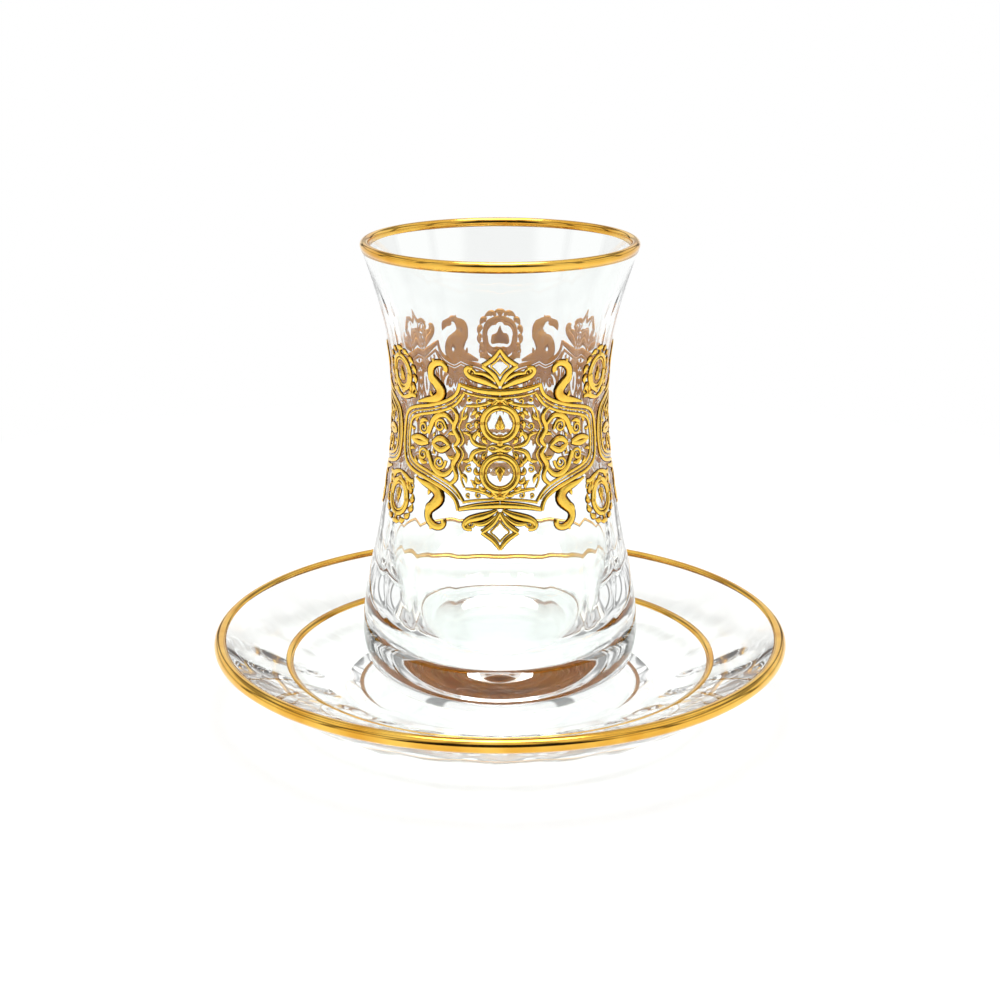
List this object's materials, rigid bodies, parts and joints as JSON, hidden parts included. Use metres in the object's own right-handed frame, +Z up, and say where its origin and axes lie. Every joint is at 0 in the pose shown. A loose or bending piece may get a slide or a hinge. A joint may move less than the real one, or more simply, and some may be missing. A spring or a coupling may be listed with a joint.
{
  "type": "turkish tea glass with saucer",
  "caption": "Waisted clear glass for tea with a thick base and flared lip, standing in the well of a round clear glass saucer, both edged with gold bands.",
  "frame": {"origin": "on the axis of the saucer and the glass, on the surface that the saucer's foot stands on", "axes": "+Z up along the common axis; X and Y level, with no difference between them in the solids; -Y is the side that an ornament unit is centred on"},
  "size_m": [0.1282, 0.1282, 0.1053],
  "materials": {
    "clear_glass": "clear soda-lime glass, fire polished",
    "gilding": "fired bright gold, slightly uneven",
    "gilding_back": "the brown underside of the gilding, where it is fired to the glass"
  },
  "bodies": {
    "root": {"tea_glass": "clear_glass", "saucer": "clear_glass", "glass_rim_gilding": "gilding", "saucer_rim_gilding": "gilding", "saucer_ring_gilding": "gilding"}
  },
  "joints": []
}
